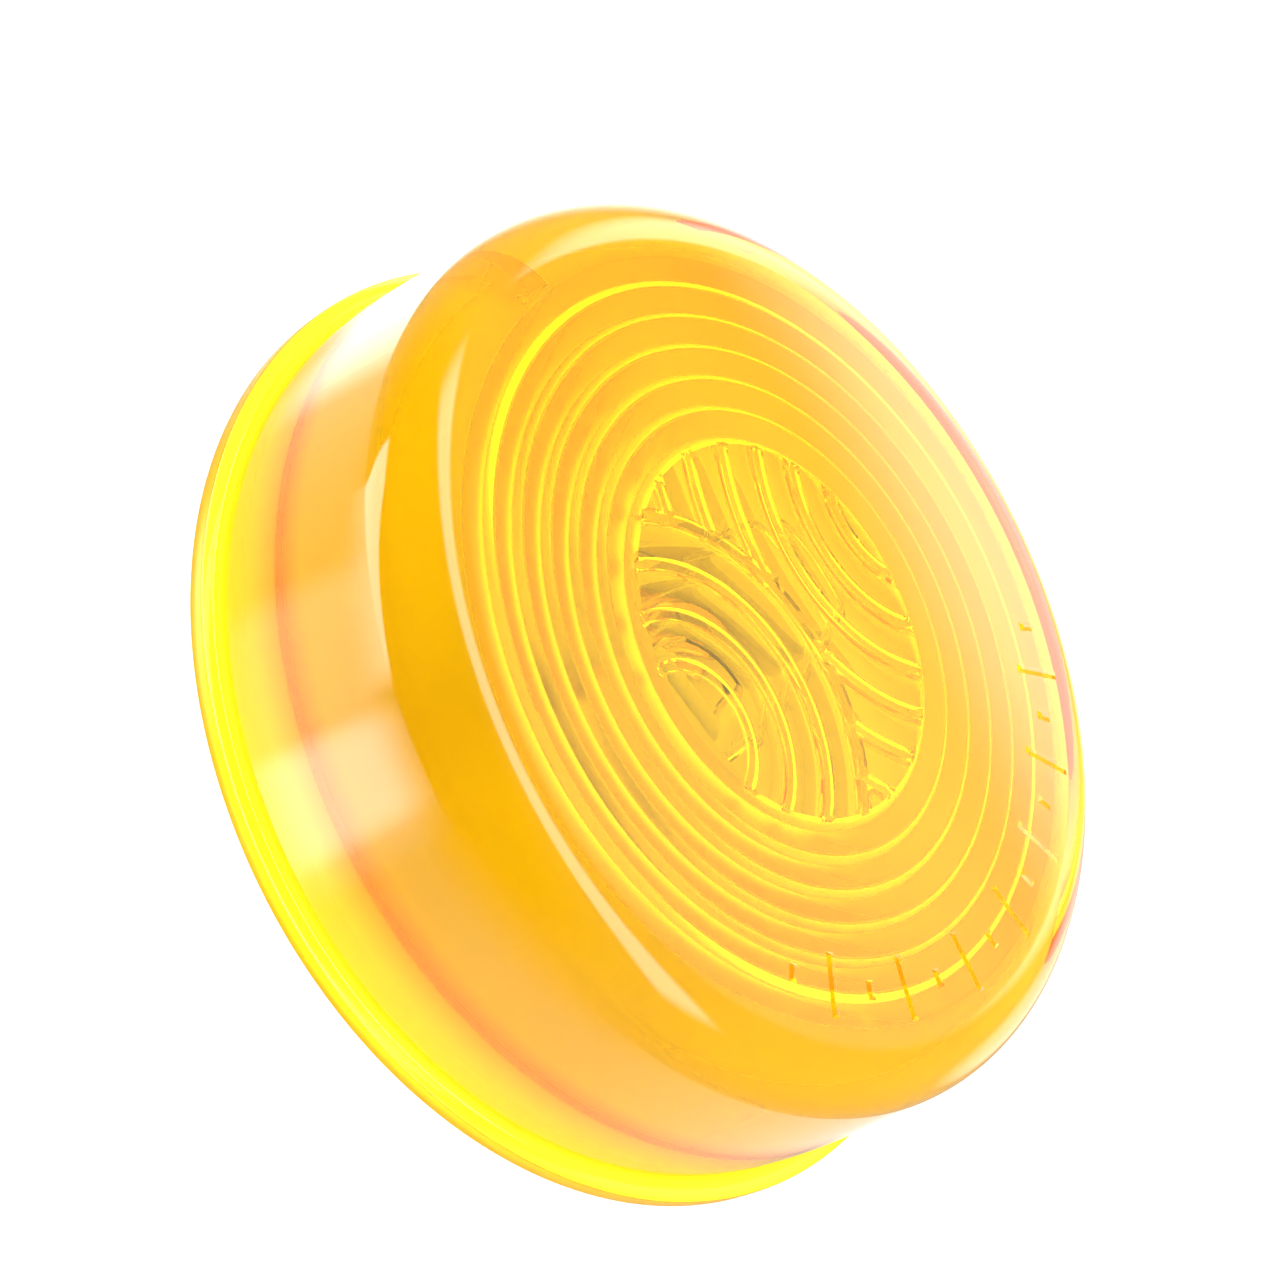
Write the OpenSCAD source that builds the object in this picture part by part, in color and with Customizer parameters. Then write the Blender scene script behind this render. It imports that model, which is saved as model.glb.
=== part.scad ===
// Sealed round side-marker lamp, 2-1/2 in. class: an amber cup lens welded over a white rear
// housing, with a shock-mounted wedge bulb inside and a two-pin plug receptacle in the back.
// The lamp's axis is +Z, the lens faces up, and the origin is the centre of the receptacle's rear face.

/* [Lens] */
// Outer diameter of the mounting flange
flange_d = 63.5; // [62:0.1:65]
// Thickness of the flange at its rim
flange_t = 1.2; // [1.1:0.1:1.4]
// Height from the rear of the flange to the lens face
lens_h = 18.2; // [17.5:0.1:19.5]
// Outer diameter of the side where it meets the flange
body_d = 61.4; // [60.8:0.1:61.8]
// Outer diameter of the side where the shoulder begins
head_d = 59.4; // [58.8:0.1:60]
// Radius of the shoulder between the side and the face
shoulder_r = 4.2; // [3.6:0.1:4.6]
// Thickness of the face
face_t = 2.4; // [2.2:0.1:2.6]

/* [Optics] */
// Diameter of the fluted disc at the centre of the face
disc_d = 24.6; // [24:0.1:25]
// Number of concentric rings round the disc
ring_count = 6; // [4:1:8]
// Depth of each ring's ridge
ring_depth = 0.75; // [0.4:0.05:0.8]
// Distance from one flute rib to the next
rib_pitch = 3.15; // [3:0.05:3.2]
// Width of a flute rib
rib_w = 0.5; // [0.4:0.1:0.7]
// Height of a flute rib
rib_h = 0.4; // [0.3:0.1:0.9]

/* [Rear housing] */
// Depth of the rear pan behind the flange
pan_depth = 7.4; // [7.2:0.1:8]
// Diameter of the rear pan
pan_d = 42; // [40:1:44]
// Width of the plug cavity across both contact pins
plug_w = 21; // [20:0.5:22]
// Height of the plug cavity
plug_h = 10; // [9.5:0.5:11]
// Depth of the plug cavity
plug_depth = 8.2; // [8:0.1:8.4]
// Distance between the two contact pins
pin_gap = 11; // [10.5:0.5:12]
// Diameter of a contact pin
pin_d = 4.5; // [4.2:0.1:4.6]

/* [Bulb] */
// Diameter of the bulb's glass
bulb_d = 10.2; // [9.6:0.2:10.4]
// Length of the bulb's glass in front of its wedge base
bulb_len = 19; // [18:0.5:20]
// Height of the bulb's axis above the rear of the flange
bulb_z = 8.9; // [8.8:0.1:9.4]
// Distance between the two lead wires, which is the filament's span
filament_w = 4.6; // [4:0.2:5]

/* [Hidden] */

$fn = 96;
gap = 0.05;                              // clearance between pieces that sit in each other
flange_z = pan_depth;                    // rear of the flange, above the origin

// Lens
rim_r = flange_d / 2;
rim_flat = flange_t - 0.2;               // straight part of the rim, which the grommet's groove grips
fillet_r = 0.3;                          // between the flange and the side
body_r = body_d / 2;
head_r = head_d / 2;
head_z = lens_h - shoulder_r;
draft = atan((body_r - head_r) / (head_z - flange_t));
corner_r = 2.3;                          // between the inside of the wall and the rings
ring_end_r = 25;
ring_crest = 0.25;                       // where a ridge's crest is, as a share of the pitch
wall_r = ring_end_r + corner_r;          // inner radius of the cup at the corner
wall_foot_r = 27.8;                      // inner radius of the cup at its seat
inner_z = lens_h - face_t;               // valleys between the rings
disc_z = inner_z + 0.3;                  // bottom of the flutes
disc_r = disc_d / 2;
seat_r = 28.9;                           // recess that takes the rear housing
seat_z = 5.6;
seat_land = 0.3;                         // height of the recess's straight wall below the seat
mouth_r = 30.3;                          // the recess widens to this at the rear of the flange

// Flutes: two families of concentric ribs, centred left and right of the axis
left_x = -12.1;
right_x = 17;
left_ribs = 4;
right_ribs = 4;
left_r0 = 4.4;
right_r0 = 6.15;
short_rib_r = right_r0 + right_ribs * rib_pitch;
short_rib_clip_r = left_r0 + (left_ribs - 0.5) * rib_pitch;

// Rear housing
plate_r = seat_r - gap;
plate_t = 1.95;
rim_wall_t = 1.3;                        // wall of the housing inside the lens's recess
pan_r = pan_d / 2;
pan_wall = 1.6;
pan_floor = 1.6;
pan_edge_r = 0.8;                        // rounding of the pan's rear edge
pan_foot_r = 1;                          // fillet where the pan meets the plate
tower_wall = 1.5;
tower_top = plug_depth + 1.4;            // top of the web that the contact pins pass through

// Contacts
pin_r = pin_d / 2;
pin_tip_z = 1;
collar_r = 2.8;
collar_t = 0.6;
tail_r = 1.5;
seal_t = 0.6;
seal_r = 3.2;
strip_t = 0.5;
strip_w = 3;
strip_y = 4.6;                           // where a strip runs beside the pins
pad_r = 2.4;                             // of the strip, round a pin's tail
washer_t = 0.3;
washer_r = 2.3;
rivet_t = 0.4;
rivet_r = 2.1;
tab_x = -14.6;                           // where a strip turns up beside the socket
tab_w = 3;
tab_gap = 0.1;                           // between a tab and the socket's side

// Bulb, lying along X
bulb_r = bulb_d / 2;
axis_z = flange_z + bulb_z;
glass_t = 0.6;
tip_x = bulb_len - 7.5;                  // closed end of the glass, with the filament on the lamp's axis
neck_x = tip_x - bulb_len;               // where the glass meets its wedge base
tip_corner_r = 2.8;
wedge_len = 6.5;
wedge_w = 9.4;
wedge_t = 2.2;
lead_r = 0.25;
lead_y = filament_w / 2;
bead_x = -3.5;
bead_r = 0.8;
filament_r = 0.3;
filament_sag = 0.5;

// Socket and its shock mounts
socket_x0 = -17;
socket_x1 = -8;
socket_w = 13.6;
socket_top = 4;                          // above the bulb's axis
screw_x = -12.5;
screw_y = 10;
screw_r = 1;
screw_head_r = 1.9;
screw_head_t = 1;
post_r = 2.4;
grommet_t = 1.2;
ear_r = 2.6;
ear_t = 1.6;
ear_z = tower_top + grommet_t;
cushion_x = 8;
cushion_len = 2.4;
cushion_w = 11;

// Points of an arc round (x, y) of radius r, from angle a0 to a1
function arc(x, y, r, a0, a1, n = 10) =
    [for (i = [0 : n]) let (a = a0 + (a1 - a0) * i / n) [x + r * cos(a), y + r * sin(a)]];

// The rings: ridges with a steep inner side and a gentle outer side
function rings() =
    let (pitch = (ring_end_r - disc_r) / ring_count)
    [for (k = [0 : ring_count - 1])
        each [[disc_r + k * pitch, inner_z],
              [disc_r + (k + ring_crest) * pitch, inner_z - ring_depth]]];

module lens_section() {
    polygon(concat(
        [[0, lens_h], [0, disc_z], [disc_r, disc_z]],
        rings(),
        arc(ring_end_r, inner_z - corner_r, corner_r, 90, 0, 10),
        [[wall_foot_r, seat_z], [seat_r, seat_z], [seat_r, seat_z - seat_land], [mouth_r, 0]],
        [[rim_r, 0], [rim_r, rim_flat]],
        [[rim_r - 0.2, flange_t]],
        arc(body_r + fillet_r, flange_t + fillet_r, fillet_r, 270, 180 + draft, 4),
        arc(head_r - shoulder_r, head_z, shoulder_r, draft, 90, 14)
    ));
}

// One rib of a family: a ring of trapezoid section that stands down from the flutes
module rib(x, r) {
    foot = rib_w / 2 + 0.15;
    translate([x, 0, 0])
        rotate_extrude($fn = 144)
            polygon([[r - foot, disc_z + 0.2], [r - foot, disc_z], [r - rib_w / 2, disc_z - rib_h],
                     [r + rib_w / 2, disc_z - rib_h], [r + foot, disc_z], [r + foot, disc_z + 0.2]]);
}

// The ribs, cut off at the disc's edge. The last one of the right family shows only outside the left family
module flute_ribs() {
    intersection() {
        translate([0, 0, disc_z - rib_h])
            cylinder(r = disc_r + 0.1, h = rib_h + 0.2);
        union() {
            for (k = [0 : left_ribs - 1])
                rib(left_x, left_r0 + k * rib_pitch);
            for (k = [0 : right_ribs - 1])
                rib(right_x, right_r0 + k * rib_pitch);
            difference() {
                rib(right_x, short_rib_r);
                translate([left_x, 0, disc_z - rib_h - 1])
                    cylinder(r = short_rib_clip_r, h = rib_h + 2);
            }
        }
    }
}

// Short plain marks moulded on the face, round its lower edge
module face_marks() {
    mark_r = 23;
    for (a = [-56 : 8 : 56])
        rotate([0, 0, a - 90])
            translate([mark_r, 0, lens_h])
                cube([a % 24 == 0 ? 4.2 : 2.6, 0.35, 0.3], center = true);
}

module lens() {
    color([1, 0.72, 0.05, 0.6])
        translate([0, 0, flange_z]) {
            union() {
                rotate_extrude($fn = 144)
                    lens_section();
                flute_ribs();
                face_marks();
                locating_rib();
            }
        }
}

// The small rib in the cup's corner that sets which way up the lens goes
module locating_rib() {
    rib_y = ring_end_r + 0.3;
    rib_z = inner_z - corner_r - 0.8;
    translate([-1.4, rib_y, rib_z])
        cube([2.8, wall_r + 0.4 - rib_y, inner_z + 0.2 - rib_z]);
}

// A bar along X with round ends, between two heights
module rounded_bar(w, h, z0, z1) {
    translate([0, 0, z0])
        linear_extrude(z1 - z0) {
            square([w - h, h], center = true);
            for (s = [-1, 1])
                translate([s * (w - h) / 2, 0])
                    circle(d = h);
        }
}

// A cylinder along +X from x0 to x1 at the height of the bulb's axis
module x_rod(x0, x1, y, r) {
    translate([x0, y, axis_z])
        rotate([0, 90, 0])
            cylinder(r = r, h = x1 - x0);
}

// A round wire between two points in the plane of the bulb's axis, with a ball at its far end
module wire(a, b, r) {
    d = b - a;
    translate([a.x, a.y, axis_z])
        rotate([0, 90, atan2(d.y, d.x)])
            cylinder(r = r, h = norm(d), $fn = 24);
    translate([b.x, b.y, axis_z])
        sphere(r = r, $fn = 24);
}

module screw_posts(r, z0, z1) {
    for (s = [-1, 1])
        translate([screw_x, s * screw_y, z0])
            cylinder(r = r, h = z1 - z0, $fn = 48);
}

// The rear housing before it is hollowed: the pan, the plate and the wall inside the lens's recess
module pan_and_plate() {
    rim_top = flange_z + seat_z - gap;
    rotate_extrude($fn = 144)
        polygon(concat(
            [[0, flange_z + plate_t], [0, 0]],
            arc(pan_r - pan_edge_r, pan_edge_r, pan_edge_r, 270, 360, 6),
            arc(pan_r + pan_foot_r, flange_z - pan_foot_r, pan_foot_r, 180, 90, 6),
            [[plate_r, flange_z], [plate_r, rim_top], [plate_r - rim_wall_t, rim_top]],
            [[plate_r - rim_wall_t, flange_z + plate_t]]
        ));
}

module rear_housing() {
    color("whitesmoke")
        difference() {
            pan_and_plate();
            difference() {
                translate([0, 0, pan_floor])
                    cylinder(r = pan_r - pan_wall, h = flange_z + plate_t);
                rounded_bar(plug_w + 2 * tower_wall, plug_h + 2 * tower_wall, 0, tower_top);
                screw_posts(post_r, 0, tower_top);
            }
            translate([0, 0, tower_top])
                cylinder(r = pan_r - pan_wall, h = 10);
            rounded_bar(plug_w, plug_h, -1, plug_depth);
            for (s = [-1, 1])
                translate([s * pin_gap / 2, 0, 0])
                    cylinder(r = tail_r, h = 30);
            screw_posts(screw_r, pan_floor + 1, 30);
        }
}

// The glass: a shell of revolution along X, pinched to a flat wedge that grips the two lead wires
module bulb_glass() {
    neck_r = 2.6;
    color([0.9, 0.95, 1, 0.4])
        difference() {
            union() {
                translate([0, 0, axis_z])
                    rotate([0, 90, 0])
                        rotate_extrude()
                            polygon(concat(
                                [[0, neck_x]],
                                arc(neck_r - 1, neck_x + 1, 1, 270, 315, 3),
                                arc(bulb_r - 3, neck_x + 4, 3, 300, 360, 8),
                                arc(bulb_r - tip_corner_r, tip_x - tip_corner_r, tip_corner_r, 0, 90, 8),
                                [[0, tip_x]]
                            ));
                translate([neck_x - wedge_len, -wedge_w / 2, axis_z - wedge_t / 2])
                    cube([wedge_len + 2, wedge_w, wedge_t]);
            }
            translate([0, 0, axis_z])
                rotate([0, 90, 0])
                    rotate_extrude()
                        polygon(concat(
                            [[0, neck_x + 2.6]],
                            arc(bulb_r - 3, neck_x + 4 + glass_t, 3 - glass_t, 300, 360, 8),
                            arc(bulb_r - tip_corner_r, tip_x - tip_corner_r, tip_corner_r - glass_t, 0, 90, 8),
                            [[0, tip_x - glass_t]]
                        ));
            for (s = [-1, 1])
                x_rod(neck_x - wedge_len - 1, 0, s * lead_y, lead_r);
        }
}

module bulb_bead() {
    color([0.75, 0.85, 0.8, 0.7])
        difference() {
            translate([bead_x, 0, axis_z])
                rotate([90, 0, 0])
                    cylinder(r = bead_r, h = filament_w + 1.6, center = true, $fn = 48);
            for (s = [-1, 1])
                x_rod(bead_x - 2, bead_x + 2, s * lead_y, lead_r);
        }
}

// The filament: the outer shape of a fine coil that arches between the two lead wires
module filament() {
    arch_r = (lead_y * lead_y + filament_sag * filament_sag) / (2 * filament_sag);
    half_angle = asin(lead_y / arch_r);
    color("dimgray")
        translate([filament_sag - arch_r, 0, axis_z])
            rotate([0, 0, -half_angle])
                rotate_extrude(angle = 2 * half_angle, $fn = 144)
                    translate([arch_r, 0])
                        circle(r = filament_r, $fn = 32);
}

// A lead wire: from the filament through the bead and the wedge, then out to the contact strip's tab
module lead_wire(s) {
    color("silver")
        difference() {
            union() {
                wire([tab_x, s * lead_y], [0, s * lead_y], lead_r);
                wire([tab_x, s * lead_y], [tab_x, s * (socket_w / 2 + tab_gap)], lead_r);
                translate([tab_x, s * lead_y, axis_z])
                    sphere(r = lead_r, $fn = 24);
            }
            filament();
        }
}
module lead_wire_left() { lead_wire(-1); }
module lead_wire_right() { lead_wire(1); }

// The nylon socket that grips the wedge, with an ear each side for its shock mount
module bulb_socket() {
    slot_t = wedge_t + 2 * gap;
    color("ivory")
        difference() {
            union() {
                translate([socket_x0, -socket_w / 2, ear_z])
                    cube([socket_x1 - socket_x0, socket_w, axis_z + socket_top - ear_z]);
                for (s = [-1, 1])
                    translate([screw_x, s * (socket_w / 4 + screw_y / 2), ear_z + ear_t / 2])
                        cube([2 * ear_r, screw_y - socket_w / 2, ear_t], center = true);
                screw_posts(ear_r, ear_z, ear_z + ear_t);
            }
            translate([tab_x - 0.6, -wedge_w / 2 - gap, axis_z - slot_t / 2])
                cube([socket_x1 - tab_x + 1, wedge_w + 2 * gap, slot_t]);
            translate([tab_x, 0, axis_z])
                cube([1.2, socket_w + 2, 1.2], center = true);
            screw_posts(screw_r + 0.2, ear_z - 1, ear_z + ear_t + 1);
        }
}

module socket_screws() {
    color("silver")
        union() {
            screw_posts(screw_r, pan_floor + 2, ear_z + ear_t + 0.1);
            difference() {
                screw_posts(screw_head_r, ear_z + ear_t, ear_z + ear_t + screw_head_t);
                for (s = [-1, 1], a = [0, 90])
                    translate([screw_x, s * screw_y, ear_z + ear_t + screw_head_t])
                        rotate([0, 0, a])
                            cube([2.4, 0.5, 0.8], center = true);
            }
        }
}

module shock_grommets() {
    color("gainsboro")
        difference() {
            screw_posts(post_r, tower_top, tower_top + grommet_t);
            screw_posts(screw_r, tower_top - 1, tower_top + grommet_t + 1);
        }
}

// The silicone saddle that the front of the bulb lies in
module bulb_cushion() {
    color("gainsboro")
        difference() {
            translate([cushion_x, -cushion_w / 2, tower_top])
                cube([cushion_len, cushion_w, axis_z - tower_top]);
            x_rod(0, 20, 0, bulb_r + gap);
        }
}

// A contact strip: a pad on its pin, a run beside the pins, and a tab that stands beside the socket
module contact_strip(s) {
    tab_y = socket_w / 2 + tab_gap;
    color("goldenrod")
        difference() {
            union() {
                translate([0, 0, tower_top])
                    linear_extrude(strip_t) {
                        translate([s * pin_gap / 2, 0])
                            circle(r = pad_r);
                        translate([s * pin_gap / 2 - strip_w / 2, s > 0 ? 0 : -strip_y])
                            square([strip_w, strip_y]);
                        translate([tab_x - tab_w / 2, s * strip_y - strip_w / 2])
                            square([s * pin_gap / 2 + strip_w / 2 - tab_x + tab_w / 2, strip_w]);
                        translate([tab_x - tab_w / 2, s > 0 ? strip_y : -tab_y - strip_t])
                            square([tab_w, tab_y + strip_t - strip_y]);
                    }
                translate([tab_x - tab_w / 2, s > 0 ? tab_y : -tab_y - strip_t, tower_top])
                    cube([tab_w, strip_t, axis_z + 1.5 - tower_top]);
            }
            translate([s * pin_gap / 2, 0, 0])
                cylinder(r = tail_r, h = 30);
        }
}
module contact_strip_left() { contact_strip(-1); }
module contact_strip_right() { contact_strip(1); }

// A contact pin: a round-nosed plug pin with a collar, and a tail riveted over on top of its strip
module contact_pin(s) {
    collar_z = plug_depth - seal_t - collar_t;
    rivet_z = tower_top + strip_t + washer_t;
    color("gold")
        translate([s * pin_gap / 2, 0, 0])
            rotate_extrude($fn = 64)
                polygon(concat(
                    [[0, rivet_z + rivet_t], [0, pin_tip_z]],
                    arc(pin_r - 1, pin_tip_z + 1, 1, 270, 360, 6),
                    [[pin_r, collar_z], [collar_r, collar_z], [collar_r, collar_z + collar_t]],
                    [[tail_r, collar_z + collar_t], [tail_r, rivet_z], [rivet_r, rivet_z]],
                    [[rivet_r - rivet_t, rivet_z + rivet_t]]
                ));
}
module contact_pin_left() { contact_pin(-1); }
module contact_pin_right() { contact_pin(1); }

module ring_on_pin(s, z, h, r) {
    translate([s * pin_gap / 2, 0, z])
        difference() {
            cylinder(r = r, h = h, $fn = 64);
            translate([0, 0, -1])
                cylinder(r = tail_r, h = h + 2, $fn = 64);
        }
}

module pin_seal(s) {
    color("dimgray")
        ring_on_pin(s, plug_depth - seal_t, seal_t, seal_r);
}
module pin_seal_left() { pin_seal(-1); }
module pin_seal_right() { pin_seal(1); }

module rivet_washer(s) {
    color("silver")
        ring_on_pin(s, tower_top + strip_t, washer_t, washer_r);
}
module rivet_washer_left() { rivet_washer(-1); }
module rivet_washer_right() { rivet_washer(1); }

// A blob of solder over the end of a lead wire, on the outside of its tab
module solder(s) {
    y0 = socket_w / 2 + tab_gap + strip_t;
    color("silver")
        translate([tab_x, s * y0, axis_z])
            rotate([-90 * s, 0, 0])
                rotate_extrude($fn = 48)
                    polygon([[0, 0], [1, 0], [0.9, 0.35], [0.55, 0.65], [0, 0.75]]);
}
module solder_left() { solder(-1); }
module solder_right() { solder(1); }

lens();
rear_housing();
bulb_glass();
bulb_bead();
filament();
lead_wire_left();
lead_wire_right();
bulb_socket();
socket_screws();
shock_grommets();
bulb_cushion();
contact_strip_left();
contact_strip_right();
contact_pin_left();
contact_pin_right();
pin_seal_left();
pin_seal_right();
rivet_washer_left();
rivet_washer_right();
solder_left();
solder_right();
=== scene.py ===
# The amber marker lamp on a white studio floor, with the camera at the photograph's viewing angle.
import math

import bmesh
import bpy
from mathutils import Matrix, Vector
from mathutils.geometry import delaunay_2d_cdt


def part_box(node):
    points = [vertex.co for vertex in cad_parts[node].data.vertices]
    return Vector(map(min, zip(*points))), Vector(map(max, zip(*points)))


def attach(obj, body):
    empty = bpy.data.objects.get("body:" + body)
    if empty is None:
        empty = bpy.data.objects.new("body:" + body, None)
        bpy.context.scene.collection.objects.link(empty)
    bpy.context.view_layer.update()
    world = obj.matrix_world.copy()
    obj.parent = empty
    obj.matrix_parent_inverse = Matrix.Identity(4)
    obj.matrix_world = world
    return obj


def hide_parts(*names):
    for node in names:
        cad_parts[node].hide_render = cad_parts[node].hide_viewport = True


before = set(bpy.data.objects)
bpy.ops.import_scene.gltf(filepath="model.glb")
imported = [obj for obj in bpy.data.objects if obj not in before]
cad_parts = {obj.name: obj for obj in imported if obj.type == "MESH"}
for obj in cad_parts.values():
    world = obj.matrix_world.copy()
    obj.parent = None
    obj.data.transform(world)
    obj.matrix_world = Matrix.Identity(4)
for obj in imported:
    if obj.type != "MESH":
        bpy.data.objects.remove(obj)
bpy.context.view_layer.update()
MM = 0.001                                      # sizes below are in millimetres, the scene is in metres

# ---------------------------------------------------------------- sizes of the lens

lens_low, lens_high = (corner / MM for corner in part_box("lens"))
mark_h = 0.15                                   # how far the face marks stand proud
rim_r = lens_high.x
rim_flat = 1.0                                  # height to which the rim is straight
rim_bevel = 0.1                                 # of its rear edge
rim_round = 0.2                                 # of its front edge
flange_z = lens_low.z
flange_t = rim_flat + rim_round
face_z = lens_high.z - mark_h
face_t = 2.4
body_r = 30.7                                   # of the side, at the flange
head_r = 29.7                                   # of the side, at the shoulder
shoulder_r = 4.2
head_z = face_z - shoulder_r
draft = math.degrees(math.atan((body_r - head_r) / (head_z - flange_z - flange_t)))
fillet_r = 0.3                                  # between the flange and the side
inner_z = face_z - face_t                       # valleys between the rings
disc_r = 12.3
disc_z = inner_z + 0.3
disc_inset = 0.12                               # from the disc's wall to the edge of its fluted part
ring_count = 6
ring_depth = 0.75
ring_crest = 0.25                               # where a ridge's crest is, as a share of the pitch
ring_end_r = 25
corner_r = 2.3                                  # between the rings and the inside of the wall
wall_r = ring_end_r + corner_r
wall_foot_r = 27.8
seat_r = 28.9                                   # recess that takes the rear housing
seat_z = flange_z + 5.6
seat_land = 0.3                                 # height of the recess's straight wall
mouth_r = 30.3                                  # the recess widens to this at the flange's rear
block_w = 2.8                                   # locating block in the cup's corner at +Y
block_r = 25.3
block_z = inner_z - 3.1
edge_round = 0.08                               # of the ridges' edges
hold = 0.15                                     # how far inside a round edge its flat face starts

# The flutes: two families of concentric ribs, with their centres left and right of the axis
rib_pitch = 3.15
rib_w = 0.5
rib_foot = rib_w / 2 + 0.15                     # half a rib's width at its foot
rib_h = 0.4
flute_depth = 0.12                              # of the hollow between two ribs
flute_drop = 0.1                                # how far a family stands below disc_z
left_x = -12.1
left_r0 = 4.4
left_last_r = left_r0 + 3 * rib_pitch
right_x = 17
right_r0 = 6.15
family_size = 8                                 # ribs drawn in each family, before the disc's edge cuts them

# The face marks: bars, with a dot between each two
mark_step = 8                                   # degrees from one mark to the next
mark_reach = 7                                  # marks to each side of the middle one
mark_r = 23.0
bar_l = 3.6
dot_l = 0.8
mark_half_w = 0.1                               # of a mark's flat top
mark_slope = 0.2                                # width of its sloping sides
face_step = 2.4                                 # between the points that fill the flat face
face_rings = 8

# Roughness
wall_matt = 0.8                                 # inside of the wall
ring_matt = 0.3
groove_matt = 0.6                               # recess below the seat
rim_matt = 0.3

# Directions of the lens's points round the axis: even, and a close pair at each side of the block
even_turns = 320
block_half = math.degrees(math.asin(block_w / 2 / block_r))
around = [360 / even_turns * i for i in range(even_turns)]
around += [90 + side * (block_half + step) for side in (-1, 1) for step in (-0.04, 0.04)]
around = sorted(math.radians(a) for a in around)
turns = len(around)

# ---------------------------------------------------------------- light and camera

tent_light = 4.2                                # radiance of the white tent
overhead_loss = 0.55                            # how much dimmer the tent is overhead
horizon = (-0.6, -0.618)                        # heights of directions between which the low band begins
lens_mm = 77.34                                 # of the camera, placed to see the lamp as the photo does
camera_at = (-126.865, 37.023, 128.527)
camera_forward = (0.72968, -0.19252, -0.65613)
camera_right = (0.44661, -0.59242, 0.67050)


# ---------------------------------------------------------------- helpers

def arc(x, y, r, start, end, count):
    """Points of an arc round (x, y), angles in degrees."""
    steps = [math.radians(start + (end - start) * i / count) for i in range(count + 1)]
    return [(x + r * math.cos(a), y + r * math.sin(a)) for a in steps]


def ring_point(r, a):
    return r * math.cos(a), r * math.sin(a)


def new_piece(name, verts, faces, sharp):
    """A mesh object from points in millimetres, smooth but for edges sharper than an angle."""
    mesh = bpy.data.meshes.new(name)
    mesh.from_pydata([Vector(v) * MM for v in verts], [], faces)
    bm = bmesh.new()
    bm.from_mesh(mesh)
    bmesh.ops.recalc_face_normals(bm, faces=bm.faces)
    bm.to_mesh(mesh)
    bm.free()
    mesh.shade_smooth()
    mesh.set_sharp_from_angle(angle=math.radians(sharp))
    piece = bpy.data.objects.new(name, mesh)
    bpy.context.scene.collection.objects.link(piece)
    return piece


def in_block(a):
    return abs(math.degrees(a) - 90) < block_half


def add_loop(verts, r, z, block=None):
    """A ring of points; block gives another radius and height where the locating block is."""
    first = len(verts)
    for a in around:
        here_r, here_z = block if block and in_block(a) else (r, z)
        verts.append((*ring_point(here_r, a), here_z))
    return list(range(first, first + turns))


def join_loops(faces, a, b):
    for i in range(turns):
        j = (i + 1) % turns
        faces.append((a[i], a[j], b[j], b[i]))


def zip_loops(verts, faces, a, b):
    """Triangles between two loops that run the same way round but have their own points."""
    def angle(i):
        return math.atan2(verts[i][1], verts[i][0]) % (2 * math.pi)

    a = sorted(a, key=angle)
    b = sorted(b, key=angle)
    i = j = 0
    while i < len(a) or j < len(b):
        next_a = angle(a[i % len(a)]) + 2 * math.pi * (i // len(a))
        next_b = angle(b[j % len(b)]) + 2 * math.pi * (j // len(b))
        if j >= len(b) or (i < len(a) and next_a <= next_b):
            faces.append((a[i % len(a)], a[(i + 1) % len(a)], b[j % len(b)]))
            i += 1
        else:
            faces.append((a[i % len(a)], b[(j + 1) % len(b)], b[j % len(b)]))
            j += 1


# ---------------------------------------------------------------- the lens

def rib_drop(distance):
    """How far a rib stands down, by the distance from its middle."""
    d = abs(distance)
    if d <= rib_w / 2:
        return rib_h
    if d < rib_foot:
        return rib_h * (rib_foot - d) / (rib_foot - rib_w / 2)
    return 0.0


def family_height(r, r0):
    """Height of a family's flutes and ribs at a radius from its centre."""
    if r < r0 - rib_foot:
        return disc_z - flute_drop
    phase = (r - r0) % rib_pitch
    nearest = min(phase, rib_pitch - phase)
    t = (phase - rib_foot) / (rib_pitch - 2 * rib_foot)
    t = min(max(t, 0.0), 1.0)
    return disc_z - rib_drop(nearest) + flute_depth * 4 * t * (1 - t) - flute_drop


def disc_height(x, y):
    """The left family inside its last rib, and the right family round it."""
    left = math.hypot(x - left_x, y)
    right = math.hypot(x - right_x, y)
    if left < left_last_r + rib_foot:
        if left < left_last_r:
            return family_height(left, left_r0)
        own = disc_z - rib_drop(left - left_last_r)
        return min(own, family_height(right, right_r0))
    return family_height(right, right_r0)


def family_lines(centre_x, r0, keep):
    """Arcs of a family, cut where keep() turns false."""
    least_r = 0.3
    point_step = 0.38
    channel_steps = 7
    offsets = [-rib_foot, -rib_w / 2, rib_w / 2, rib_foot]
    channel = rib_pitch - 2 * rib_foot
    offsets += [rib_foot + channel * i / channel_steps for i in range(1, channel_steps)]
    lines = []
    for k in range(family_size):
        for offset in offsets:
            r = r0 + k * rib_pitch + offset
            if r < least_r:
                continue
            count = max(12, int(2 * math.pi * r / point_step))
            line = []
            for i in range(count + 1):
                x, y = ring_point(r, 2 * math.pi * i / count)
                x += centre_x
                if keep(x, y):
                    line.append((x, y))
                else:
                    if len(line) > 1:
                        lines.append(line)
                    line = []
            if len(line) > 1:
                lines.append(line)
    return lines


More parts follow.
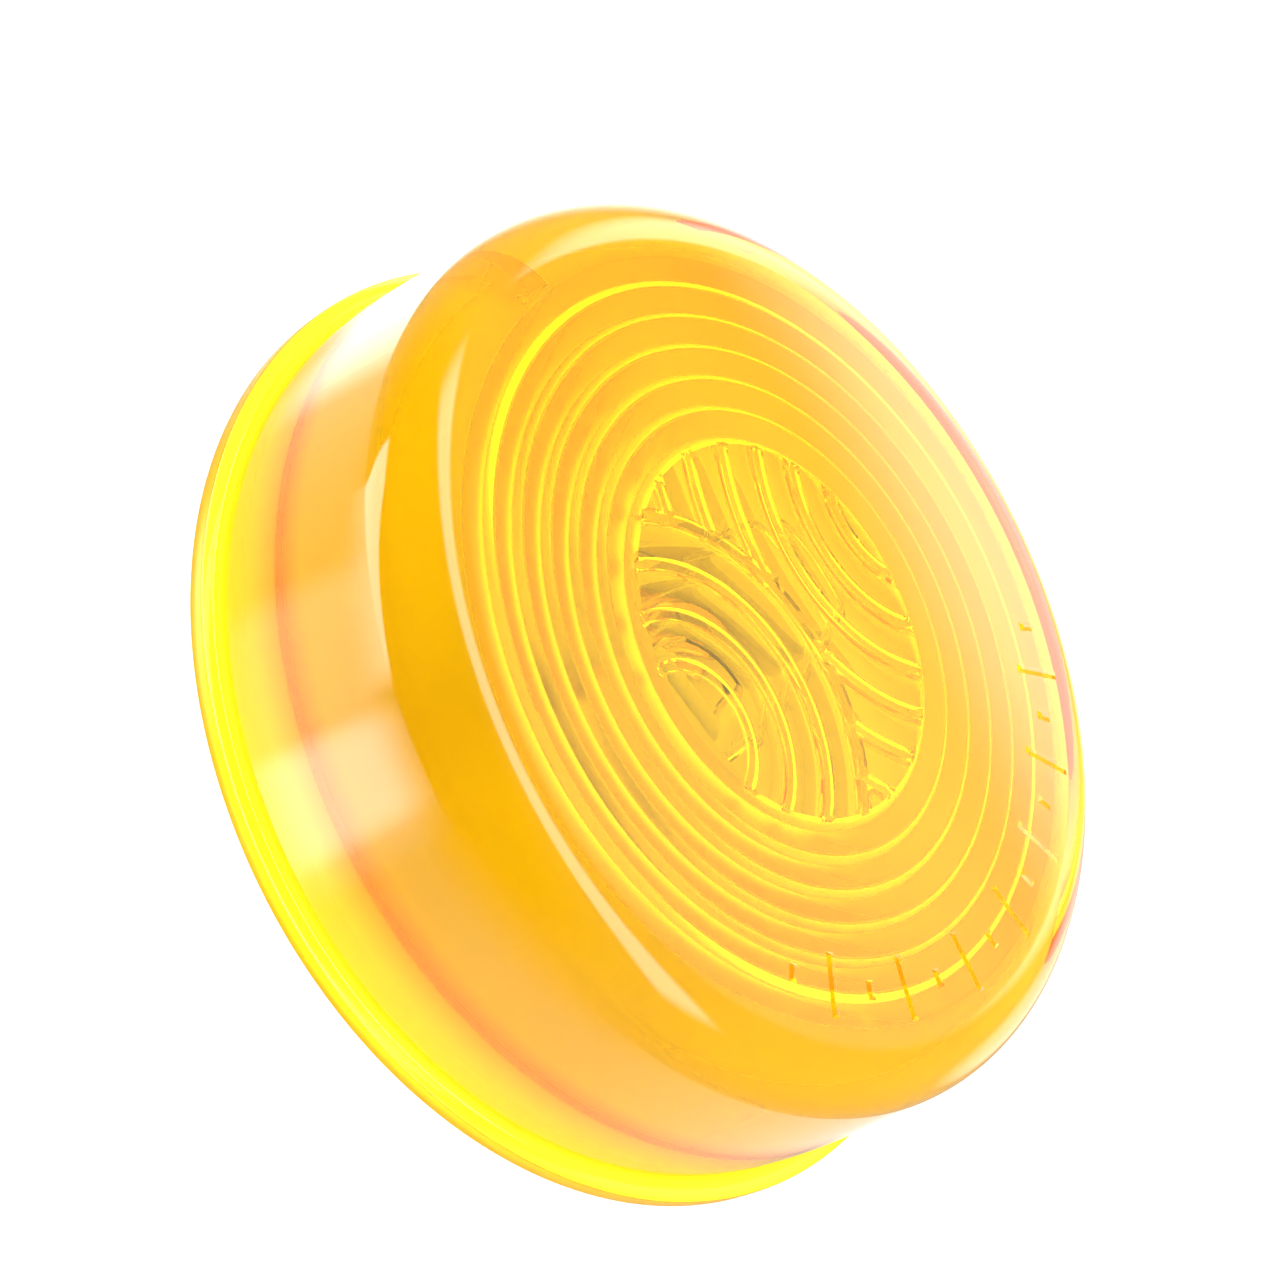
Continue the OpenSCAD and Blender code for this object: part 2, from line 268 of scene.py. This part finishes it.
def disc_mesh(edge_r):
    """Points and triangles of the fluted disc. Its lines keep clear of the edge and of the other family."""
    clear = 0.12
    clip = left_last_r + rib_foot

    def in_disc(x, y):
        return math.hypot(x, y) < edge_r - clear

    def in_left(x, y):
        return in_disc(x, y) and math.hypot(x - left_x, y) <= clip + 0.01

    def in_right(x, y):
        return in_disc(x, y) and math.hypot(x - left_x, y) > clip + clear

    points, edges = [], []
    for line in family_lines(left_x, left_r0, in_left) + family_lines(right_x, right_r0, in_right):
        first = len(points)
        points += line
        edges += [(first + i, first + i + 1) for i in range(len(line) - 1)]
    first = len(points)
    points += [ring_point(edge_r, a) for a in around]
    rim = list(range(first, first + turns))
    result = delaunay_2d_cdt([Vector(p) for p in points], edges, [rim], 1, 1e-5)
    verts = [(p.x, p.y, disc_height(p.x, p.y)) for p in result[0]]
    return verts, result[2]


def mark_outlines():
    """The raised plain marks round the lower edge of the face: four corners of each foot and of each top."""
    for step in range(-mark_reach, mark_reach + 1):
        a = math.radians(mark_step * step - 90)
        out = Vector((math.cos(a), math.sin(a)))
        side = Vector((-out.y, out.x))
        half_l = (bar_l if step % 2 == 0 else dot_l) / 2
        for grow, z in ((mark_slope, face_z), (0.0, face_z + mark_h)):
            corners = [out * (mark_r + i * (half_l + grow)) + side * j * (mark_half_w + grow)
                       for i, j in ((-1, -1), (1, -1), (1, 1), (-1, 1))]
            yield corners, z


def face_mesh(edge_r):
    """Points and triangles of the flat face with its marks."""
    points = [ring_point(edge_r, a) for a in around]
    heights = [face_z] * turns
    rim = list(range(turns))
    edges = []
    for corners, z in mark_outlines():
        first = len(points)
        points += [(p.x, p.y) for p in corners]
        heights += [z] * 4
        edges += [(first + k, first + (k + 1) % 4) for k in range(4)]
    for ring in range(1, face_rings + 1):
        r = face_step * ring
        count = int(2 * math.pi * r / face_step)
        points += [ring_point(r, 2 * math.pi * i / count) for i in range(count)]
        heights += [face_z] * count
    result = delaunay_2d_cdt([Vector(p) for p in points], edges, [rim], 1, 1e-5)
    verts = []
    for p, origin in zip(result[0], result[3]):
        verts.append((p.x, p.y, heights[origin[0]] if origin else face_z))
    return verts, result[2]


def ring_profile():
    """The rings from the disc outwards: ridges with a steep inner side and a gentle outer side."""
    pitch = (ring_end_r - disc_r) / ring_count
    valley_z = inner_z - edge_round / 2
    crest_z = inner_z - ring_depth
    points = []
    for k in range(ring_count):
        valley = disc_r + k * pitch
        crest = valley + ring_crest * pitch
        points.append((valley + edge_round, valley_z))
        points.append((crest - edge_round, crest_z + 0.1))
        points.append((crest, crest_z + 0.03))
        points.append((crest + edge_round, crest_z + 0.04))
        points.append((valley + pitch - edge_round, valley_z))
    points.append((ring_end_r, inner_z))
    return points


def block_profile(points):
    """Where the corner's points go on the block: along its underside, then up its inner side."""
    half = len(points) // 2
    under = [(wall_r - (wall_r - block_r) * i / (half - 1), block_z) for i in range(half)]
    rest = len(points) - half
    up = [(block_r, block_z + (inner_z - 0.1 - block_z) * (i + 1) / rest) for i in range(rest)]
    return under + up


def outer_profile():
    """The outside from the recess's mouth round the flange, up the side and over the shoulder."""
    points = [(mouth_r, flange_z), (rim_r - rim_bevel, flange_z), (rim_r, flange_z + rim_bevel)]
    points.append((rim_r, flange_z + rim_flat))
    points.append((rim_r - 0.3 * rim_round, flange_z + rim_flat + 0.7 * rim_round))
    points.append((rim_r - rim_round, flange_z + flange_t))
    points += arc(body_r + fillet_r, flange_z + flange_t + fillet_r, fillet_r, 270, 180 + draft, 4)
    shoulder = arc(head_r - shoulder_r, head_z, shoulder_r, draft, 90, 24)
    foot, top = points[-1], shoulder[0]
    for t in (0.02, 0.98):
        points.append((foot[0] + (top[0] - foot[0]) * t, foot[1] + (top[1] - foot[1]) * t))
    points += shoulder
    points.append((shoulder[-1][0] - hold, face_z))
    return points


def inner_profile():
    """The inside from the recess up the wall and over the rings, and where its points go on the block."""
    points = [(seat_r, seat_z - seat_land), (seat_r, seat_z), (wall_foot_r, seat_z)]
    corner = arc(ring_end_r, inner_z - corner_r, corner_r, 0, 90, 15)[:-1]
    blocks = [None] * len(points) + block_profile(corner)
    points += corner + list(reversed(ring_profile()))
    blocks += [None] * (len(points) - len(blocks))
    return points, blocks


def add_patch(verts, faces, patch):
    """Adds a flat piece of mesh and returns the number of its first point."""
    base = len(verts)
    verts += patch[0]
    faces += [tuple(base + i for i in face) for face in patch[1]]
    return base


def make_lens():
    verts, faces = [], []
    outer = outer_profile()
    mouth = add_loop(verts, *outer[0])
    last = mouth
    for r, z in outer[1:-1]:
        loop = add_loop(verts, r, z)
        join_loops(faces, last, loop)
        last = loop
    base = add_patch(verts, faces, face_mesh(outer[-1][0]))
    join_loops(faces, last, list(range(base, base + turns)))
    last = mouth
    for (r, z), block in zip(*inner_profile()):
        loop = add_loop(verts, r, z, block)
        join_loops(faces, last, loop)
        last = loop
    edge_r = disc_r - disc_inset
    base = add_patch(verts, faces, disc_mesh(edge_r))
    rim = [i for i in range(base, len(verts)) if math.hypot(*verts[i][:2]) > edge_r - 0.001]
    zip_loops(verts, faces, last, rim)
    return new_piece("amber_lens_cup", verts, faces, 25)


# ---------------------------------------------------------------- materials

class Tree:
    """A node tree with short ways to add nodes to it."""

    def __init__(self, tree):
        self.tree = tree

    def add(self, kind, **values):
        node = self.tree.nodes.new(kind)
        for key, value in values.items():
            setattr(node, key, value)
        return node

    def link(self, a, b):
        self.tree.links.new(a, b)

    def math(self, operation, a, b=0.0):
        """A Math node on two values, each a socket or a number."""
        node = self.add("ShaderNodeMath", operation=operation)
        for value, socket in ((a, node.inputs[0]), (b, node.inputs[1])):
            if isinstance(value, (int, float)):
                socket.default_value = value
            else:
                self.link(value, socket)
        return node.outputs[0]

    def product(self, parts):
        value = parts[0]
        for part in parts[1:]:
            value = self.math("MULTIPLY", value, part)
        return value


class Nodes(Tree):
    """A material with a Principled shader."""

    def __init__(self, name):
        self.material = bpy.data.materials.new(name)
        self.material.use_nodes = True
        super().__init__(self.material.node_tree)
        self.tree.nodes.clear()
        self.out = self.add("ShaderNodeOutputMaterial")
        self.shader = self.add("ShaderNodeBsdfPrincipled")
        self.link(self.shader.outputs[0], self.out.inputs["Surface"])
        self.coords = self.add("ShaderNodeTexCoord").outputs["Object"]

    def set(self, **values):
        for key, value in values.items():
            self.shader.inputs[key.replace("_", " ")].default_value = value

    def noise(self, scale, detail=3.0):
        noise = self.add("ShaderNodeTexNoise")
        noise.inputs["Scale"].default_value = scale
        noise.inputs["Detail"].default_value = detail
        self.link(self.coords, noise.inputs["Vector"])
        return noise.outputs["Fac"]

    def radius_and_height(self):
        """Distance from the lamp's axis and height above the floor."""
        split = self.add("ShaderNodeSeparateXYZ")
        self.link(self.coords, split.inputs[0])
        flat = self.add("ShaderNodeCombineXYZ")
        self.link(split.outputs["X"], flat.inputs["X"])
        self.link(split.outputs["Y"], flat.inputs["Y"])
        length = self.add("ShaderNodeVectorMath", operation="LENGTH")
        self.link(flat.outputs[0], length.inputs[0])
        return length.outputs["Value"], split.outputs["Z"]

    def ramp(self, value, low, high, to_low, to_high):
        span = self.add("ShaderNodeMapRange")
        for name, number in (("From Min", low), ("From Max", high), ("To Min", to_low), ("To Max", to_high)):
            span.inputs[name].default_value = number
        self.link(value, span.inputs["Value"])
        return span.outputs["Result"]

    def rise(self, value, low_mm, high_mm, top=1.0):
        """0 up to one place and top from another."""
        return self.ramp(value, low_mm * MM, high_mm * MM, 0.0, top)

    def fall(self, value, low_mm, high_mm):
        """1 up to one place and 0 from another."""
        return self.ramp(value, low_mm * MM, high_mm * MM, 1.0, 0.0)

    def band(self, value, low_mm, high_mm, soft_mm):
        """1 from one place to another, with soft ends."""
        return self.product([self.rise(value, low_mm, low_mm + soft_mm),
                             self.fall(value, high_mm, high_mm + soft_mm)])

    def grain(self, scale, low, high, detail=3.0):
        """Roughness that wanders a little, from low to high."""
        self.rough(self.ramp(self.noise(scale, detail), 0.3, 0.7, low, high))

    def rough(self, value):
        self.link(value, self.shader.inputs["Roughness"])

    def colours(self, value, a, b):
        mix = self.add("ShaderNodeMix", data_type="RGBA")
        mix.inputs["A"].default_value = (*a, 1)
        mix.inputs["B"].default_value = (*b, 1)
        self.link(value, mix.inputs["Factor"])
        self.link(mix.outputs["Result"], self.shader.inputs["Base Color"])

    def bump(self, height, depth_mm, strength=1.0):
        bump = self.add("ShaderNodeBump")
        bump.inputs["Strength"].default_value = strength
        bump.inputs["Distance"].default_value = depth_mm * MM
        self.link(height, bump.inputs["Height"])
        self.link(bump.outputs[0], self.shader.inputs["Normal"])

    def absorb(self, colour, density):
        node = self.add("ShaderNodeVolumeAbsorption")
        node.inputs["Color"].default_value = (*colour, 1)
        node.inputs["Density"].default_value = density
        self.link(node.outputs[0], self.out.inputs["Volume"])


def inside_matt(m, radius, height):
    """Roughness of the rings and of the inside of the wall, down to the seat."""
    value = m.ramp(radius, (ring_end_r - 0.3) * MM, ring_end_r * MM, ring_matt, wall_matt)
    within = m.band(radius, disc_r, seat_r + 0.1, 0.2)
    under_face = m.fall(height, inner_z + 0.1, inner_z + 0.3)
    above_seat = m.rise(height, seat_z - 0.3, seat_z - 0.1)
    return m.product([within, value, under_face, above_seat])


def groove_haze(m, near, height):
    """Roughness of the recess below the seat, more towards the seat."""
    value = m.rise(height, flange_z + 1.5, seat_z - seat_land, groove_matt)
    return m.product([value, m.fall(height, seat_z, seat_z + 0.1), near])


def painted_seat_shade(m, near, height):
    """Painted shade round the seat, where the lens meets the housing: the plastic turns more orange there,
    fading both ways.
    """
    below = m.rise(height, flange_z + 3.4, seat_z)
    return m.product([below, m.fall(height, seat_z, seat_z + 1.6), near])


def amber_plastic():
    """Clear amber polycarbonate: polished outside, matt inside and at the rim, with painted shade that turns
    it more orange round the seat.
    """
    m = Nodes("amber_polycarbonate")
    m.set(Transmission_Weight=1.0, IOR=1.57)
    radius, height = m.radius_and_height()
    near = m.band(radius, wall_r - 0.2, seat_r + 0.7, 0.1)
    # painted shade: the base colour turns more orange towards the seat, standing in for the shade there
    m.colours(painted_seat_shade(m, near, height), (1, 0.8, 0.035), (1, 0.45, 0.08))
    matt = m.math("MAXIMUM", inside_matt(m, radius, height), groove_haze(m, near, height))
    polish = m.ramp(m.noise(180), 0.3, 0.7, 0.01, 0.04)
    rim = m.rise(radius, rim_r - 0.14, rim_r - 0.04, rim_matt)
    m.rough(m.math("ADD", m.math("ADD", polish, matt), rim))
    m.bump(m.noise(90, 2.0), 0.01, 0.4)
    m.absorb((0.998, 0.96, 0.0), 600)
    return m.material


def moulded(name, a, b, roughness):
    """Opaque moulded plastic, rubber or glass, between two colours, with a fine grain."""
    grain_scale = 1 / (0.6 * MM)
    m = Nodes(name)
    m.colours(m.noise(60), a, b)
    m.grain(grain_scale, roughness - 0.06, roughness + 0.08)
    m.bump(m.noise(grain_scale, 4.0), 0.01)
    m.set(IOR=1.5)
    return m.material


def metal(name, a, b, roughness):
    m = Nodes(name)
    m.colours(m.noise(900, 4.0), a, b)
    m.grain(2500, roughness - 0.07, roughness + 0.1)
    m.bump(m.noise(2500), 0.004)
    m.set(Metallic=1.0)
    return m.material


def clear_glass(name, tint, density, ior):
    m = Nodes(name)
    m.set(Base_Color=(1, 1, 1, 1), Transmission_Weight=1.0, IOR=ior)
    m.grain(150, 0.0, 0.02)
    m.bump(m.noise(110, 2.0), 0.02, 0.5)
    m.absorb(tint, density)
    return m.material


def paint(material, *nodes):
    for name in nodes:
        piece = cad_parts[name]
        piece.data.materials.clear()
        piece.data.materials.append(material)


# ---------------------------------------------------------------- stage

def make_camera():
    data = bpy.data.cameras.new("camera")
    data.lens = lens_mm
    data.clip_start = 0.005
    data.clip_end = 50
    camera = bpy.data.objects.new("camera", data)
    bpy.context.scene.collection.objects.link(camera)
    forward = Vector(camera_forward).normalized()
    right = Vector(camera_right).normalized()
    turn = Matrix((right, right.cross(forward), -forward)).transposed()
    camera.matrix_world = Matrix.LocRotScale(Vector(camera_at) * MM, turn, None)
    bpy.context.scene.camera = camera


def make_floor():
    """White acrylic. Mirror-like rays don't see it, because the sky has its own lower part."""
    half = 3.0
    corners = [(-half, -half, 0), (half, -half, 0), (half, half, 0), (-half, half, 0)]
    mesh = bpy.data.meshes.new("floor")
    mesh.from_pydata(corners, [], [(0, 1, 2, 3)])
    floor = bpy.data.objects.new("floor", mesh)
    bpy.context.scene.collection.objects.link(floor)
    m = Nodes("white_acrylic")
    m.colours(m.noise(4), (0.93, 0.93, 0.94), (0.96, 0.96, 0.96))
    m.set(Roughness=0.25, IOR=1.3)
    mesh.materials.append(m.material)
    floor.visible_glossy = False


def direction(azimuth, elevation):
    """A unit vector, angles in degrees from +X and from the floor."""
    a, e = math.radians(azimuth), math.radians(elevation)
    return Vector((math.cos(a) * math.cos(e), math.sin(a) * math.cos(e), math.sin(e)))


class Sky(Tree):
    """The studio round the lamp, as light by direction."""

    def __init__(self):
        world = bpy.data.worlds.new("studio")
        bpy.context.scene.world = world
        world.use_nodes = True
        super().__init__(world.node_tree)
        self.back = self.tree.nodes["Background"]
        self.way = self.add("ShaderNodeTexCoord").outputs["Generated"]
        self.height = self.along((0, 0, 1))

    def along(self, vector):
        """Cosine of the angle between the ray and a fixed direction."""
        node = self.add("ShaderNodeVectorMath", operation="DOT_PRODUCT")
        self.link(self.way, node.inputs[0])
        node.inputs[1].default_value = vector
        return node.outputs["Value"]

    def step(self, value, low, high):
        """0 below low, 1 above high, smooth between; low may be the greater for a falling step."""
        node = self.add("ShaderNodeMapRange", interpolation_type="SMOOTHSTEP")
        if low > high:
            node.inputs["To Min"].default_value = 1.0
            node.inputs["To Max"].default_value = 0.0
            low, high = high, low
        node.inputs["From Min"].default_value = low
        node.inputs["From Max"].default_value = high
        self.link(value, node.inputs["Value"])
        return node.outputs["Result"]

    def spot(self, azimuth, elevation, inner, outer):
        """A round patch, full within inner degrees and gone at outer degrees."""
        cosine = self.along(direction(azimuth, elevation))
        return self.step(cosine, math.cos(math.radians(outer)), math.cos(math.radians(inner)))

    def total(self, parts):
        """The sum of shapes, each times the strength before it."""
        value = 0.0
        for strength, shape in parts:
            value = self.math("ADD", self.math("MULTIPLY", shape, strength), value)
        return value


def overhead_strip(sky):
    """A long box overhead, across the view from the camera."""
    across = sky.math("ABSOLUTE", sky.along(direction(147, 4)))
    return sky.product([sky.step(across, 0.17, 0.08), sky.step(sky.height, 0.55, 0.75)])


def far_box(sky):
    """A soft box on the far side of the lamp, with a straight upper edge."""
    return sky.product([sky.spot(-5, 28, 12, 32), sky.step(sky.height, 0.59, 0.55)])


def low_lights(sky):
    """A band of light low in the sky, which the lamp's side mirrors, with three brighter patches."""
    low = sky.step(sky.height, *horizon)
    band = sky.total([(0.72, low), (2.5, sky.spot(33, -42, 5, 20)), (1.25, sky.spot(138, -42, 20, 28)),
                      (3.9, sky.spot(152, -42, 6, 12))])
    return sky.product([band, low, sky.step(sky.height, -0.66, -0.64)])


def side_window(sky):
    """A bright window at +Y: upright on one side, slanted on the other, and cut off above the low band."""
    slant = sky.step(sky.along(direction(179.6, 42.8)), 0.03, -0.03)
    upright = sky.step(sky.along(direction(178, 0)), -0.01, 0.02)
    near_y = sky.step(sky.along((0, 1, 0)), 0.2, 0.35)
    return sky.product([slant, upright, sky.step(sky.height, -0.12, -0.2), near_y,
                        sky.step(sky.height, *reversed(horizon))])


def mirrored_light(sky):
    """What mirror-like rays see: a dim studio with soft boxes in it."""
    away = sky.step(sky.along(direction(130, 15)), 0.62, 0.0)
    boxes = sky.total([(0.4, away), (4.5, overhead_strip(sky)), (3.6, far_box(sky)), (1.0, low_lights(sky)),
                       (5.0, side_window(sky)), (1.4, sky.spot(-5, -25, 12, 35)),
                       (0.7, sky.spot(-32, 46, 6, 20)), (1.6, sky.spot(-48, -6, 8, 20))])
    return sky.math("ADD", boxes, 0.06)


def tent(sky):
    """What all other rays see: a white tent, dimmer overhead."""
    loss = sky.math("MULTIPLY", sky.step(sky.height, 0.1, 0.8), overhead_loss)
    return sky.math("MULTIPLY", sky.math("SUBTRACT", 1.0, loss), tent_light)


def make_light():
    sky = Sky()
    path = sky.add("ShaderNodeLightPath")
    not_diffuse = sky.math("SUBTRACT", 1.0, path.outputs["Is Diffuse Ray"])
    sharp = sky.math("MULTIPLY", path.outputs["Is Reflection Ray"], not_diffuse)
    soft = sky.math("SUBTRACT", 1.0, sharp)
    light = sky.total([(tent(sky), soft), (mirrored_light(sky), sharp)])
    sky.back.inputs["Color"].default_value = (1, 1, 1, 1)
    sky.link(light, sky.back.inputs["Strength"])


# ---------------------------------------------------------------- build

make_camera()
make_floor()
make_light()

lens = make_lens()
lens.data.materials.append(amber_plastic())
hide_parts("lens")
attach(lens, "root")

paint(moulded("white_plastic", (0.90, 0.90, 0.88), (0.93, 0.93, 0.92), 0.4), "rear_housing")
paint(clear_glass("bulb_glass", (0.9, 0.95, 0.93), 6, 1.1), "bulb_glass")
paint(moulded("bead_glass", (0.80, 0.84, 0.82), (0.86, 0.89, 0.87), 0.3), "bulb_bead")
paint(metal("tungsten", (0.10, 0.10, 0.11), (0.22, 0.21, 0.21), 0.35), "filament")
paint(metal("wire", (0.45, 0.44, 0.43), (0.6, 0.58, 0.55), 0.3), "lead_wire_left", "lead_wire_right")
paint(moulded("nylon", (0.76, 0.75, 0.72), (0.80, 0.79, 0.77), 0.5), "bulb_socket")
paint(metal("zinc_steel", (0.55, 0.55, 0.56), (0.68, 0.68, 0.70), 0.3), "socket_screws",
      "rivet_washer_left", "rivet_washer_right")
paint(moulded("silicone", (0.80, 0.80, 0.78), (0.85, 0.85, 0.83), 0.6), "shock_grommets", "bulb_cushion")
paint(metal("brass", (0.70, 0.50, 0.22), (0.82, 0.62, 0.30), 0.28), "contact_strip_left",
      "contact_strip_right", "contact_pin_left", "contact_pin_right")
paint(moulded("seal_rubber", (0.03, 0.03, 0.03), (0.05, 0.05, 0.05), 0.65), "pin_seal_left", "pin_seal_right")
paint(metal("solder", (0.55, 0.55, 0.56), (0.68, 0.68, 0.68), 0.35), "solder_left", "solder_right")

bpy.context.scene.view_settings.view_transform = "Standard"
cycles = bpy.context.scene.cycles
cycles.max_bounces = 20
cycles.diffuse_bounces = 6
cycles.glossy_bounces = 10
cycles.transmission_bounces = 18
